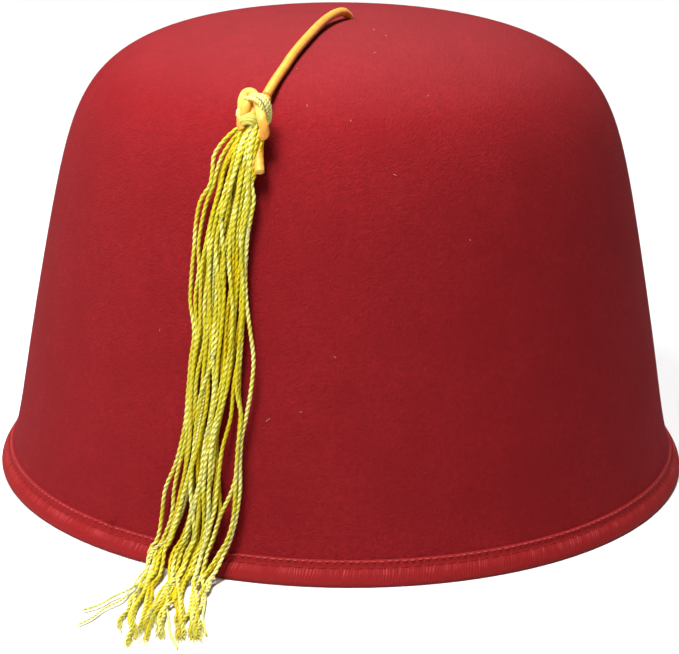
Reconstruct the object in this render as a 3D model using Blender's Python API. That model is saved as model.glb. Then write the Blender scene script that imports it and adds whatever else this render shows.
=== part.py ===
"""A felt fez with a bound rim and a corded tassel, standing on its rim.

Metres, +Z up. The origin is the middle of the rim, on the surface that the hat stands on, and -Y is the
hat's front. The crown and its binding are turned shapes. The cord comes up through a hole beside the middle
of the top and runs over the shoulder into the knot. The tassel's skirt hangs from the knot down the wall,
and its ends lie on the surface in front of the rim.

Places on the hat are given as run, turn and lift. Run is the distance from the middle of the top, measured
down the outside of the hat and then out along the surface that it stands on. Turn is the angle around the
hat from the front, positive to the right. Lift is the height above the hat, square to it.
"""

import math

import bmesh
import bpy
import numpy as np
from mathutils import Vector

MM = 0.001

# ---- driving dimensions, in metres ----
RIM_DIAMETER = 0.200
CROWN_HEIGHT = 0.129
FELT_THICKNESS = 0.0020
PIECE_GAP = 0.0003

# the wall leans in by its taper for each metre of height, and by its barrel for the square of the height
WALL_TAPER = 0.150
WALL_BARREL = 0.354
# a larger exponent keeps the wall straight for longer, a larger roundness makes the shoulder tighter
SHOULDER_EXPONENT = 12.8
SHOULDER_ROUNDNESS = 2.48

# how far the foot of the wall spreads, how high the spread reaches, and how sharply it ends
RIM_FLARE = (0.0035, 0.0079, 1.8)
FELT_FLARE = (0.0019, 0.0085, 1.5)

BINDING_HEIGHT = 0.0065
BINDING_INNER_HEIGHT = 0.0060
BINDING_TAPE = 0.0005
BINDING_MIDDLE_HEIGHT = 0.0036
BINDING_FLOOR = 0.0010
BINDING_CORNER = 0.0007

CORD_DIAMETER = 0.0024
CORD_POINT_SPACING = 0.0040
LOOP_POINT_SPACING = 0.0016
INNER_KNOT_RADIUS = 0.0034
INNER_KNOT_HEIGHT = 0.0060

# the threads leave the wall and lie flat this far from the foot of the rim
FLOOR_BEND = 0.009
# a lock's extra lift fades away over this last stretch, in mm
LIFT_FADE = 50

# ---- how finely the solids are divided ----
AROUND = 64
CROWN_OUTSIDE_RINGS = 24
CROWN_INSIDE_RINGS = 13
CROWN_DISC_RADIUS = 0.009
INNER_KNOT_SIDES = 12
LOOP_SIDES = 10
LOCK_SIDES = 8
CURVE_STEPS = 20
MERGE_DISTANCE = 0.00001
ROUND_EDGE_ANGLE = math.radians(50)

# ---- short tables ----
# the binding's outside: height above the surface, thickness over the felt and its gap, in mm
BINDING_OUTSIDE = [
    (6.5, 0.5),
    (5.0, 0.5),
    (4.3, 0.9),
    (3.0, 1.2),
    (1.6, 1.5),
    (0.7, 1.5),
]

# the cord's route from inside the crown to the knot: x, y, z in metres
CORD_ROUTE = [
    (0.0015, -0.0038, 0.1246),
    (0.0015, -0.0038, 0.1256),
    (0.0015, -0.0038, 0.1266),
    (0.0013, -0.0041, 0.1280),
    (0.0008, -0.0048, 0.1295),
    (0.0000, -0.0060, 0.1306),
    (-0.0009, -0.0074, 0.1312),
    (-0.0025, -0.0100, 0.1313),
    (-0.0047, -0.0151, 0.1309),
    (-0.0068, -0.0216, 0.1302),
    (-0.0086, -0.0282, 0.1294),
    (-0.0106, -0.0360, 0.1284),
    (-0.0123, -0.0417, 0.1273),
    (-0.0140, -0.0470, 0.1259),
    (-0.0154, -0.0515, 0.1244),
    (-0.0169, -0.0553, 0.1228),
    (-0.0183, -0.0590, 0.1212),
    (-0.0194, -0.0621, 0.11975),
    (-0.0199, -0.0634, 0.1190),
]
# how many of those points lie in or under the felt's hole, counted from the start
CORD_HOLE_POINTS = 6

# the inner knot's outline: share of its radius, share of its height from the top
INNER_KNOT_OUTLINE = [
    (0.45, 0.00),
    (0.85, 0.15),
    (1.00, 0.45),
    (0.85, 0.80),
    (0.45, 1.00),
]

# the knot's middle: run in mm, turn in degrees, lift in mm
KNOT_PLACE = (72.8, -18.6, 4.7)
# half sizes of the knot's filled middle, in mm: side, down, out
KNOT_CORE = (3.5, 5.0, 3.4)
# middle lines of what is tied round it, in mm from the knot's middle: side, down, out
KNOT_LOOPS = {
    "cord_loop": [
        (0.9, 3.0, 0.8),
        (-0.6, 4.0, 1.9),
        (-2.1, 2.6, 2.6),
        (-3.0, 0.2, 2.7),
        (-2.9, -2.4, 2.4),
        (-1.7, -4.1, 2.3),
        (0.1, -3.6, 2.8),
        (1.4, -1.6, 3.2),
        (2.1, 0.6, 3.3),
        (3.0, 2.8, 3.0),
        (3.8, 4.9, 2.2),
        (3.5, 6.2, 0.8),
        (2.6, 6.4, -0.6),
    ],
    "thread_band": [
        (-1.6, -2.6, 0.0),
        (-0.6, -3.8, 1.2),
        (0.8, -4.1, 1.8),
        (2.4, -3.4, 1.9),
        (3.6, -1.8, 1.5),
        (4.0, 0.4, 0.9),
        (3.7, 2.6, 0.0),
        (2.6, 4.0, -1.2),
    ],
    "cord_collar": [
        (0.2, -1.9, -0.9),
        (0.8, -4.0, -1.8),
        (1.3, -5.9, -2.6),
    ],
    "cord_tail": [
        (2.9, 6.4, -0.2),
        (2.7, 8.0, -1.6),
        (3.1, 10.4, -2.6),
        (3.8, 13.0, -3.0),
        (4.3, 15.2, -3.4),
    ],
}

# the skirt's head under the knot: run in mm, turn in degrees, lift in mm, then half sizes as the knot's
HEAD_PLACE = (78.8, -19.0, 3.9)
HEAD_SIZE = (3.0, 3.0, 2.1)
# along every lock: run, lift, half height, all in mm, and the share of the lock's own width
LOCK_STATIONS = [
    (77.5, 4.2, 1.2, 0.70),
    (86.0, 3.2, 1.4, 0.90),
    (94.0, 2.1, 1.5, 1.00),
    (106.0, 1.9, 1.5, 1.00),
    (182.0, 1.8, 1.4, 1.00),
    (206.0, 1.2, 1.2, 0.95),
    (219.0, 1.0, 1.0, 1.00),
    (232.0, 0.7, 0.7, 1.25),
]
# each lock: half width and extra lift on the wall, in mm, then (run in mm, turn in degrees) down its middle
LOCKS = {
    "far_left": (1.3, 0.0, [
        (78, -20.4), (81, -22.4), (86, -24.5), (94, -26.2), (106, -26.9), (122, -26.2), (138, -25.3),
        (154, -25.7), (170, -27.0), (182, -27.6), (193, -28.0), (206, -25.6), (219, -23.1), (232, -21.1)]),
    "left": (1.5, 0.5, [
        (78, -20.0), (81, -21.9), (86, -23.5), (94, -24.3), (106, -24.8), (122, -24.9), (138, -24.1),
        (154, -24.4), (170, -25.5), (182, -26.6), (193, -26.7), (206, -24.4), (219, -22.0), (234, -19.9)]),
    "middle_left": (1.6, 0.0, [
        (78, -19.5), (81, -20.4), (86, -21.6), (94, -22.7), (106, -23.1), (122, -23.2), (138, -22.7),
        (154, -22.8), (170, -23.8), (182, -24.7), (193, -24.7), (206, -22.7), (219, -20.8), (233, -19.0)]),
    "middle": (1.6, 0.6, [
        (78, -19.0), (81, -19.3), (86, -20.2), (94, -21.2), (106, -21.3), (122, -21.4), (138, -21.2),
        (154, -21.4), (170, -21.9), (182, -22.6), (193, -22.5), (206, -20.8), (219, -19.1), (232, -17.3)]),
    "middle_right": (1.6, 0.0, [
        (78, -18.6), (81, -18.5), (86, -18.9), (94, -19.5), (106, -19.6), (122, -19.5), (138, -19.6),
        (154, -20.1), (170, -20.7), (182, -21.1), (193, -20.9), (206, -19.2), (219, -17.5), (231, -15.8)]),
    "right": (1.5, 0.5, [
        (78, -18.1), (81, -17.8), (86, -17.7), (94, -17.8), (106, -18.0), (122, -17.8), (138, -17.7),
        (154, -18.8), (170, -19.4), (182, -19.4), (193, -19.4), (206, -17.8), (219, -15.9), (231, -14.1)]),
    "far_right": (1.2, 0.0, [
        (79, -17.7), (82, -17.0), (86, -16.7), (94, -16.8), (106, -16.9), (122, -16.1), (138, -14.9),
        (154, -15.8), (170, -16.1), (182, -17.1), (193, -18.0), (206, -17.0), (219, -15.2), (230, -13.6)]),
    "stray_end": (0.9, 0.0, [
        (187, -27.6), (193, -28.3), (200, -27.9), (206, -27.1), (211, -26.5), (219, -26.1), (224, -26.7),
        (230, -27.3)]),
}


# ---- the hat's outline ----
def wall_radius(height):
    """The wall and dome without any spread at the foot."""
    straight = RIM_DIAMETER / 2 - RIM_FLARE[0] - WALL_TAPER * height - WALL_BARREL * height**2
    dome = 1 - np.minimum(height / CROWN_HEIGHT, 1) ** SHOULDER_EXPONENT
    return straight * dome ** (1 / SHOULDER_ROUNDNESS)


def flare(height, spread):
    """How far the foot stands out at a height."""
    size, reach, sharpness = spread
    return size * np.exp(-((height / reach) ** sharpness))


def outline_through(spread):
    """Radii, heights and outward normals from the foot to the middle of the top."""
    quarter = np.linspace(0, math.pi / 2, 4001)
    heights = CROWN_HEIGHT * np.sin(quarter)
    radii = wall_radius(heights) + flare(heights, spread) * (heights < CROWN_HEIGHT / 2)
    step_out = np.gradient(radii)
    step_up = np.gradient(heights)
    length = np.hypot(step_out, step_up)
    return radii, heights, step_up / length, -step_out / length


OUTER_RADII, OUTER_HEIGHTS, OUTER_NORMAL_OUT, OUTER_NORMAL_UP = outline_through(RIM_FLARE)
FELT_RADII, FELT_HEIGHTS, FELT_NORMAL_OUT, FELT_NORMAL_UP = outline_through(FELT_FLARE)
INNER_RADII = FELT_RADII - FELT_THICKNESS * FELT_NORMAL_OUT
INNER_HEIGHTS = FELT_HEIGHTS - FELT_THICKNESS * FELT_NORMAL_UP
OUTER_STEPS = np.hypot(np.diff(OUTER_RADII), np.diff(OUTER_HEIGHTS))
OUTER_RUNS = np.sum(OUTER_STEPS) - np.concatenate([[0], np.cumsum(OUTER_STEPS)])
RIM_RUN = float(OUTER_RUNS[0])


def felt_outside(height):
    return float(np.interp(height, FELT_HEIGHTS, FELT_RADII))


def felt_inside(height):
    return float(np.interp(height, INNER_HEIGHTS, INNER_RADII))


def on_outline(run, lift):
    """Radius and height above the hat's wall or dome."""
    radius = np.interp(-run, -OUTER_RUNS, OUTER_RADII + lift * OUTER_NORMAL_OUT)
    height = np.interp(-run, -OUTER_RUNS, OUTER_HEIGHTS + lift * OUTER_NORMAL_UP)
    return float(radius), float(height)


def on_hat(run, turn, lift):
    """A point by its run, turn in degrees and lift, rounding the foot onto the surface."""
    foot = RIM_DIAMETER / 2
    if run <= RIM_RUN - FLOOR_BEND:
        radius, height = on_outline(run, lift)
    elif run >= RIM_RUN + FLOOR_BEND:
        radius, height = foot + run - RIM_RUN, lift
    else:
        share = (run - RIM_RUN + FLOOR_BEND) / (2 * FLOOR_BEND)
        above = on_outline(RIM_RUN - FLOOR_BEND, lift)
        corner = (foot + lift, lift)
        beyond = (foot + FLOOR_BEND, lift)
        radius, height = (
            (1 - share) ** 2 * a + 2 * share * (1 - share) * c + share**2 * b
            for a, c, b in zip(above, corner, beyond)
        )
    angle = math.radians(turn)
    return Vector((radius * math.sin(angle), -radius * math.cos(angle), height))


def hat_frame(run, turn, lift):
    """A point on the hat with its directions to the side, down the hat and out from it."""
    middle = on_hat(run, turn, lift)
    out = (on_hat(run, turn, lift + MM) - on_hat(run, turn, lift)).normalized()
    angle = math.radians(turn)
    side = Vector((math.cos(angle), math.sin(angle), 0))
    return middle, side, side.cross(out), out


# ---- ways of making a solid ----
def clear_scene():
    for thing in list(bpy.data.objects):
        bpy.data.objects.remove(thing, do_unlink=True)


def make_material(name, colour, roughness, sheen):
    material = bpy.data.materials.new(name)
    material.use_nodes = True
    shader = material.node_tree.nodes["Principled BSDF"]
    shader.inputs["Base Color"].default_value = (*colour, 1)
    shader.inputs["Roughness"].default_value = roughness
    shader.inputs["Metallic"].default_value = 0
    shader.inputs["Sheen Weight"].default_value = sheen
    return material


def mesh_object(name, shape, material=None):
    """An object of a finished bmesh, with its faces turned outward."""
    bmesh.ops.recalc_face_normals(shape, faces=shape.faces)
    mesh = bpy.data.meshes.new(name)
    shape.to_mesh(mesh)
    shape.free()
    mesh.shade_smooth()
    mesh.set_sharp_from_angle(angle=ROUND_EDGE_ANGLE)
    thing = bpy.data.objects.new(name, mesh)
    bpy.context.scene.collection.objects.link(thing)
    if material:
        mesh.materials.append(material)
    return thing


def turned(name, outline, material, closed, steps=AROUND):
    """A solid turned about Z from (radius, height) points; an open outline is capped at its ends."""
    shape = bmesh.new()
    points = [shape.verts.new((radius, 0, height)) for radius, height in outline]
    pairs = list(zip(points, points[1:]))
    if closed:
        pairs.append((points[-1], points[0]))
    edges = [shape.edges.new(pair) for pair in pairs]
    bmesh.ops.spin(
        shape, geom=points + edges, cent=(0, 0, 0), axis=(0, 0, 1), angle=math.tau, steps=steps,
        use_merge=True)
    bmesh.ops.remove_doubles(shape, verts=shape.verts, dist=MERGE_DISTANCE)
    open_edges = [edge for edge in shape.edges if edge.is_boundary]
    if open_edges:
        bmesh.ops.holes_fill(shape, edges=open_edges, sides=0)
    return mesh_object(name, shape, material)


def lofted(name, rings):
    """A closed solid through rings of points, with a flat cap at each end."""
    shape = bmesh.new()
    loops = [[shape.verts.new(point) for point in ring] for ring in rings]
    for loop, following in zip(loops, loops[1:]):
        for index in range(len(loop)):
            after = (index + 1) % len(loop)
            shape.faces.new((loop[index], loop[after], following[after], following[index]))
    shape.faces.new(loops[0])
    shape.faces.new(loops[-1])
    return mesh_object(name, shape)


def oval_ring(middle, across, upward, half_width, half_height, sides):
    """Points of an oval, a flat side down."""
    ring = []
    for index in range(sides):
        angle = math.tau * (index + 0.5) / sides
        ring.append(middle + across * half_width * math.cos(angle) + upward * half_height * math.sin(angle))
    return ring


def smooth_line(points, spacing):
    """Evenly spaced points on a smooth curve through the given points."""
    padded = [2 * points[0] - points[1], *points, 2 * points[-1] - points[-2]]
    fine = []
    for before, start, end, after in zip(padded, padded[1:], padded[2:], padded[3:]):
        for step in range(CURVE_STEPS):
            share = step / CURVE_STEPS
            fine.append(0.5 * (
                2 * start + (end - before) * share
                + (2 * before - 5 * start + 4 * end - after) * share**2
                + (3 * start - before - 3 * end + after) * share**3))
    fine.append(points[-1])
    lengths = np.concatenate([[0], np.cumsum([(b - a).length for a, b in zip(fine, fine[1:])])])
    count = max(3, round(lengths[-1] / spacing) + 1)
    wanted = np.linspace(0, lengths[-1], count)
    columns = [np.interp(wanted, lengths, [point[axis] for point in fine]) for axis in range(3)]
    return [Vector(point) for point in zip(*columns)]


def along(points, index):
    """The direction of a line of points at one of them."""
    return (points[min(index + 1, len(points) - 1)] - points[max(index - 1, 0)]).normalized()


def round_tube(name, points, radius, sides):
    """A closed tube of one radius, whose rings turn no more than the line does."""
    upward = Vector((0, 0, 1))
    if abs(along(points, 0).z) > 0.9:
        upward = Vector((0, 1, 0))
    rings = []
    for index, point in enumerate(points):
        direction = along(points, index)
        across = direction.cross(upward).normalized()
        upward = across.cross(direction).normalized()
        rings.append(oval_ring(point, across, upward, radius, radius, sides))
    return lofted(name, rings)


def ellipsoid(name, place, half_sizes, grow=0.0):
    """A rounded solid set square to the hat."""
    middle, side, down, out = hat_frame(place[0] * MM, place[1], place[2] * MM)
    shape = bmesh.new()
    bmesh.ops.create_uvsphere(shape, u_segments=12, v_segments=8, radius=1)
    for vert in shape.verts:
        wide, long, thick = (part * (size * MM + grow) for part, size in zip(vert.co, half_sizes))
        vert.co = middle + side * wide + down * long + out * thick
    return mesh_object(name, shape)


def guide(thing):
    """Marks a shape that only cuts or fills another."""
    thing.hide_render = True
    thing.display_type = "WIRE"
    return thing


def combine(target, other, operation):
    modifier = target.modifiers.new(operation.lower() + "_" + other.name, "BOOLEAN")
    modifier.operation = operation
    modifier.solver = "EXACT"
    modifier.object = guide(other)


# ---- the pieces ----
def make_crown(material):
    """The felt shell, with a hole for the cord beside the middle of its top."""
    foot = BINDING_FLOOR + PIECE_GAP

    def ring_points(radii, heights, low_heights, rings):
        steps = np.hypot(np.diff(radii), np.diff(heights))
        runs = np.concatenate([[0], np.cumsum(steps)])
        first = np.interp(low_heights[-1], heights, runs)
        last = runs[-1] - CROWN_DISC_RADIUS
        low = [(float(np.interp(h, heights, radii)), h) for h in low_heights]
        spaced = np.linspace(first, last, rings)[1:]
        return low + [(float(np.interp(s, runs, radii)), float(np.interp(s, runs, heights))) for s in spaced]

    outside = ring_points(
        FELT_RADII, FELT_HEIGHTS, [foot, BINDING_MIDDLE_HEIGHT, BINDING_HEIGHT], CROWN_OUTSIDE_RINGS)
    inside = ring_points(INNER_RADII, INNER_HEIGHTS, [foot, BINDING_INNER_HEIGHT], CROWN_INSIDE_RINGS)
    crown = turned("crown", outside[::-1] + inside, material, closed=False)
    way_in = [Vector(point) for point in CORD_ROUTE[:CORD_HOLE_POINTS]]
    way_in.insert(0, way_in[0] - Vector((0, 0, 2 * MM)))
    hole = round_tube("cord_hole", way_in, CORD_DIAMETER / 2 + PIECE_GAP, LOOP_SIDES)
    combine(crown, hole, "DIFFERENCE")
    return crown


def make_edge_binding(material):
    """Ribbed tape folded over the felt's edge, fuller round the fold."""
    outside = []
    for height_mm, thickness_mm in BINDING_OUTSIDE:
        height = height_mm * MM
        outside.append((felt_outside(height) + PIECE_GAP + thickness_mm * MM, height))
    inner_face = felt_inside(BINDING_INNER_HEIGHT) - PIECE_GAP - BINDING_TAPE
    inner_foot = felt_inside(BINDING_CORNER) - PIECE_GAP - BINDING_TAPE
    bottom = [(outside[-1][0] - BINDING_CORNER, 0), (inner_foot + BINDING_CORNER, 0)]
    inside = [(inner_foot, BINDING_CORNER), (inner_face, BINDING_INNER_HEIGHT)]
    channel = [(felt_inside(BINDING_INNER_HEIGHT) - PIECE_GAP, BINDING_INNER_HEIGHT)]
    channel.append((felt_inside(BINDING_FLOOR) - PIECE_GAP, BINDING_FLOOR))
    for height in (BINDING_FLOOR, BINDING_MIDDLE_HEIGHT, BINDING_HEIGHT):
        channel.append((felt_outside(height) + PIECE_GAP, height))
    return turned("edge_binding", outside + bottom + inside + channel, material, closed=True)


def make_tassel_cord(material):
    """The cord from its inner knot to the tassel's knot."""
    line = smooth_line([Vector(point) for point in CORD_ROUTE], CORD_POINT_SPACING)
    curve = bpy.data.curves.new("tassel_cord", "CURVE")
    curve.dimensions = "3D"
    curve.bevel_depth = CORD_DIAMETER / 2
    curve.bevel_resolution = 2
    curve.use_fill_caps = True
    spline = curve.splines.new("POLY")
    spline.points.add(len(line) - 1)
    for point, place in zip(spline.points, line):
        point.co = (*place, 1)
    curve.materials.append(material)
    cord = bpy.data.objects.new("tassel_cord", curve)
    bpy.context.scene.collection.objects.link(cord)
    return cord


def make_inner_knot(material):
    """The knot that holds the cord's end inside the crown."""
    outline = [(INNER_KNOT_RADIUS * out, -INNER_KNOT_HEIGHT * down) for out, down in INNER_KNOT_OUTLINE]
    knot = turned("inner_knot", outline, material, closed=False, steps=INNER_KNOT_SIDES)
    knot.location = Vector(CORD_ROUTE[0]) - Vector((0, 0, PIECE_GAP))
    return knot


def knot_shapes(prefix, grow):
    """The knot's core with its loops, each as a closed solid grown by a margin."""
    middle, side, down, out = hat_frame(KNOT_PLACE[0] * MM, KNOT_PLACE[1], KNOT_PLACE[2] * MM)
    core = ellipsoid(prefix, KNOT_PLACE, KNOT_CORE, grow)
    for name, rows in KNOT_LOOPS.items():
        places = [middle + side * row[0] * MM + down * row[1] * MM + out * row[2] * MM for row in rows]
        line = smooth_line(places, LOOP_POINT_SPACING)
        loop = round_tube(prefix + "_" + name, line, CORD_DIAMETER / 2 + grow, LOOP_SIDES)
        combine(core, loop, "UNION")
    return core


def make_tassel_knot(material):
    """The cord tied round the tassel's threads, with its cut tail."""
    knot = knot_shapes("tassel_knot", 0.0)
    knot.data.materials.append(material)
    return knot


def lock_solid(name, half_width, extra_lift, path):
    """One lock of the skirt, from the knot down the wall and onto the surface."""
    runs, lifts, heights, shares = (list(column) for column in zip(*LOCK_STATIONS))
    last_run = runs[-1]
    middles = []
    for run, turn in path:
        on_wall = min(1, (last_run - min(run, last_run)) / LIFT_FADE)
        lift = np.interp(run, runs, lifts) + extra_lift * on_wall
        middles.append(on_hat(run * MM, turn, float(lift) * MM))
    rings = []
    for index, (run, turn) in enumerate(path):
        direction = along(middles, index)
        out = hat_frame(run * MM, turn, MM)[3]
        across = direction.cross(out).normalized()
        upward = across.cross(direction).normalized()
        wide = half_width * float(np.interp(run, runs, shares)) * MM
        high = float(np.interp(run, runs, heights)) * MM
        rings.append(oval_ring(middles[index], across, upward, wide, high, LOCK_SIDES))
    return lofted(name, rings)


def make_tassel_skirt(material):
    """The tassel's threads as locks fused to a head, clear of the knot round it."""
    skirt = ellipsoid("tassel_skirt", HEAD_PLACE, HEAD_SIZE)
    skirt.data.materials.append(material)
    for name, (half_width, extra_lift, path) in LOCKS.items():
        combine(skirt, lock_solid("lock_" + name, half_width, extra_lift, path), "UNION")
    combine(skirt, knot_shapes("knot_clearance", PIECE_GAP), "DIFFERENCE")
    return skirt


def build():
    clear_scene()
    felt = make_material("red_felt", (0.35, 0.017, 0.024), 0.95, 0.3)
    tape = make_material("red_ribbed_tape", (0.40, 0.020, 0.030), 0.75, 0.1)
    golden = make_material("golden_cord", (0.91, 0.39, 0.045), 0.45, 0.1)
    yellow = make_material("yellow_threads", (0.83, 0.68, 0.045), 0.50, 0.1)
    make_crown(felt)
    make_edge_binding(tape)
    make_inner_knot(golden)
    make_tassel_cord(golden)
    make_tassel_knot(golden)
    make_tassel_skirt(yellow)


build()
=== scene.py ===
"""The looks of the felt fez: camera, light, felt, ribbed tape, cord, knots and the twisted thread tassel.

Metres, +Z up, in the model's own frame. Places on the hat are given as in the model's source: run is the
distance from the middle of the top, down the outside and out along the floor, turn is the angle from the
front in degrees, positive to the right, and lift is the height above the hat.
"""

import math

import bpy
import numpy as np
from mathutils import Matrix, Vector


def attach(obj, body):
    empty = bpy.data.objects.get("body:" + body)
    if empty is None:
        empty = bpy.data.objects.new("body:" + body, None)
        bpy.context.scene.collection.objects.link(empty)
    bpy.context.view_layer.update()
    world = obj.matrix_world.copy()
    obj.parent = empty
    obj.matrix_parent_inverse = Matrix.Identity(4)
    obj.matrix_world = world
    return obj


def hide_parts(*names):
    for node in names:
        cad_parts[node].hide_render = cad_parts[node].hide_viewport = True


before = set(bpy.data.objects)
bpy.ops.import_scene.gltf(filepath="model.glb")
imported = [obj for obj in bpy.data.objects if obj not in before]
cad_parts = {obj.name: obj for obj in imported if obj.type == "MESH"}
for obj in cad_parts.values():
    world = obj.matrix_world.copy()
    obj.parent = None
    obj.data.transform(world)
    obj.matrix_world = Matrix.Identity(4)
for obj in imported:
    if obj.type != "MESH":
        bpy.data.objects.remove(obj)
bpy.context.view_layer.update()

MM = 0.001
SEED = 11

# ---- the photograph's camera ----
IMAGE_WIDTH = 679
IMAGE_HEIGHT = 654
FOCAL_PIXELS = 2099
SENSOR_WIDTH_MM = 36
CAMERA_DISTANCE = 0.6155
CAMERA_ELEVATION = math.radians(17.82)
CAMERA_ROLL = math.radians(0.617)
CAMERA_AIM = Vector((-0.00081, 0, 0.03741))
CAMERA_CLIP = (0.01, 20)
# how far along a pixel's ray the hat is looked for
RAY_REACH = np.linspace(0.4, 0.85, 9001)

# ---- the light and the floor ----
WORLD_STRENGTH = 0.06
# each light: the turn and height it comes from in degrees, its distance in metres (0 for a far one), its size
# in metres (radians for a far one) and its strength
LIGHTS = {
    "softbox": (-33, 58, 0.40, 0.14, 2.35),
    "top": (-70, 84, 0, 0.24, 2.10),
    "side": (-60, 24, 0, 0.24, 0.65),
    "behind": (180, 66, 0, 0.5, 1.55),
}
LIGHTS_AIM = Vector((0, 0, 0.08))
FLOOR_HALF_WIDTH = 6
FLOOR_COLOUR = (0.79, 0.79, 0.79, 1)

# ---- the hat's outline, as in the model's source ----
RIM_DIAMETER = 0.200
CROWN_HEIGHT = 0.129
FELT_THICKNESS = 0.0020
PIECE_GAP = 0.0003
WALL_TAPER = 0.150
WALL_BARREL = 0.354
SHOULDER_EXPONENT = 12.8
SHOULDER_ROUNDNESS = 2.48
RIM_FLARE = (0.0035, 0.0079, 1.8)
FELT_FLARE = (0.0019, 0.0085, 1.5)
BINDING_FLOOR = 0.0010
FLOOR_BEND = 0.009

# ---- the cord and its knots ----
CORD_DIAMETER = 0.0024
CORD_SIDES = 24
CORD_STEP = 0.0003
CORD_SPIRAL_PITCH = 0.0021
CORD_SPIRAL_DEPTH = 0.00003
KNOT_STEP = 0.0002
INNER_KNOT_HEIGHT = 0.0060
INNER_KNOT_SIDES = 20
INNER_KNOT_TURNS = 2.3
INNER_KNOT_CORE_RADIUS = 0.00115
# the coil's radius, how far out its tucked ends lie, how much farther out the rest lies, and its room at the
# top and bottom
INNER_KNOT_COIL = (0.0011, 0.0012, 0.00105, 0.0011)

# the cord's route from inside the crown to the knot: x, y, z in metres, as in the model's source
CORD_ROUTE = [
    (0.0015, -0.0038, 0.1246),
    (0.0015, -0.0038, 0.1256),
    (0.0015, -0.0038, 0.1266),
    (0.0013, -0.0041, 0.1280),
    (0.0008, -0.0048, 0.1295),
    (0.0000, -0.0060, 0.1306),
    (-0.0009, -0.0074, 0.1312),
    (-0.0025, -0.0100, 0.1313),
    (-0.0047, -0.0151, 0.1309),
    (-0.0068, -0.0216, 0.1302),
    (-0.0086, -0.0282, 0.1294),
    (-0.0106, -0.0360, 0.1284),
    (-0.0123, -0.0417, 0.1273),
    (-0.0140, -0.0470, 0.1259),
    (-0.0154, -0.0515, 0.1244),
    (-0.0169, -0.0553, 0.1228),
    (-0.0183, -0.0590, 0.1212),
    (-0.0194, -0.0621, 0.11975),
    (-0.0199, -0.0634, 0.1190),
]
# the route's points at the felt's inner and outer face
CORD_ENTRY_POINT, CORD_EXIT_POINT = 2, 4

# the knot's middle: run in mm, turn in degrees, lift in mm
KNOT_PLACE = (73.2, -18.2, 4.7)
# middle lines of the cord tied round it, in mm from the knot's middle: side, down, out and how yellow it is,
# a painted highlight where the knot's cord catches the light
KNOT_CORDS = {
    "loop": [
        (-1.8, 5.0, -0.3, 0.0),
        (-2.4, 3.7, 0.2, 0.0),
        (-2.6, 2.1, 0.7, 0.0),
        (-2.7, 0.6, 1.3, 0.1),
        (-2.8, -0.8, 1.9, 0.6),
        (-2.8, -2.2, 2.5, 1.0),
        (-2.4, -3.5, 2.8, 0.7),
        (-1.4, -4.1, 2.9, 0.2),
        (-0.1, -3.5, 3.0, 0.2),
        (1.1, -2.0, 3.2, 0.6),
        (2.4, 0.1, 3.5, 0.8),
        (3.3, 2.1, 3.6, 0.7),
        (4.1, 4.0, 3.4, 0.2),
        (4.7, 5.3, 2.6, 0.0),
        (4.7, 5.9, 1.4, 0.0),
        (4.2, 6.2, 0.2, 0.0),
        (3.0, 5.9, -0.9, 0.0),
    ],
    "inner_pass": [
        (-1.1, -4.0, 1.0, 0.0),
        (-1.0, -1.8, 2.4, 0.1),
        (-1.1, 0.0, 3.0, 0.2),
        (-1.3, 1.4, 2.4, 0.2),
        (-1.5, 2.7, 1.1, 0.0),
    ],
    "second_pass": [
        (0.6, -2.6, 0.6, 0.0),
        (0.9, -1.0, 1.5, 0.1),
        (0.9, 0.6, 1.7, 0.2),
        (0.6, 2.0, 1.4, 0.1),
        (0.4, 3.2, 0.6, 0.0),
    ],
    "collar": [
        (0.2, -1.9, -0.9, 0.0),
        (0.8, -4.0, -1.8, 0.0),
        (1.3, -5.9, -2.6, 0.0),
    ],
    "tail": [
        (3.0, 6.0, -0.9, 0.0),
        (2.7, 7.4, -1.8, 0.0),
        (2.8, 9.1, -2.4, 0.1),
        (3.4, 11.7, -2.9, 0.1),
        (4.3, 14.9, -3.2, 0.2),
    ],
}
# middle lines of the threads wrapped over the knot, as above, each with its strands' places beside that line
# and outward, in mm
KNOT_WRAPS = {
    "band": ([
        (-2.8, -3.8, 0.6),
        (-0.6, -2.7, 3.2),
        (1.6, -1.8, 4.9),
        (3.2, -1.0, 5.2),
        (4.1, -0.1, 4.4),
        (4.35, 0.8, 3.0),
        (4.15, 1.7, 1.5),
        (3.7, 2.4, 0.0),
        (2.5, 2.8, -1.2),
    ], [(-1.2, 0.0), (0.0, 0.3), (1.2, 0.0)]),
    "left_wrap": ([
        (-2.7, -1.5, -0.6),
        (-3.2, -0.9, 0.9),
        (-3.4, 0.6, 1.7),
        (-3.2, 1.9, 1.4),
        (-2.8, 2.8, 0.6),
        (-1.8, 3.2, -0.4),
    ], [(-0.4, 0.0), (0.5, 0.1)]),
}
WRAP_PITCH = 0.0018
WRAP_TONE = 1.5
WRAP_CREASE_SHADE = 0.6
# the smooth threads wound round under the cord: turns, middle, half sizes and thickness, in mm to the side,
# down and out, then how light they are
KNOT_WINDING = (6, (-0.3, 2.7, 0.3), (2.2, 1.6, 2.2), 1.2, 1.1)
WINDING_SIDES = 10
WINDING_STEPS = 60

# ---- the tassel's threads ----
STRAND_DIAMETER = 0.00114
STRAND_PITCH = 0.0035
STRAND_TAPER = 0.009
THIN_DIAMETER = 0.00075
THIN_PITCH = STRAND_PITCH * 0.6
THIN_TAPER = 0.0015
THIN_EXTRA_TONE = 0.3
PLIES = 2
PLY_SIDES = 6
STEPS_IN_A_TWIST = 12
# a ply's radius and its distance from the strand's middle, as shares of the strand's diameter
PLY_RADIUS = 0.36
PLY_SPREAD = 0.13
# how much painted shade darkens a strand's creases and how much painted highlight lightens its ridges
STRAND_CREASE_SHADE = 0.4
RIDGE_PAINTED_HIGHLIGHT = 0.6
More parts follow.
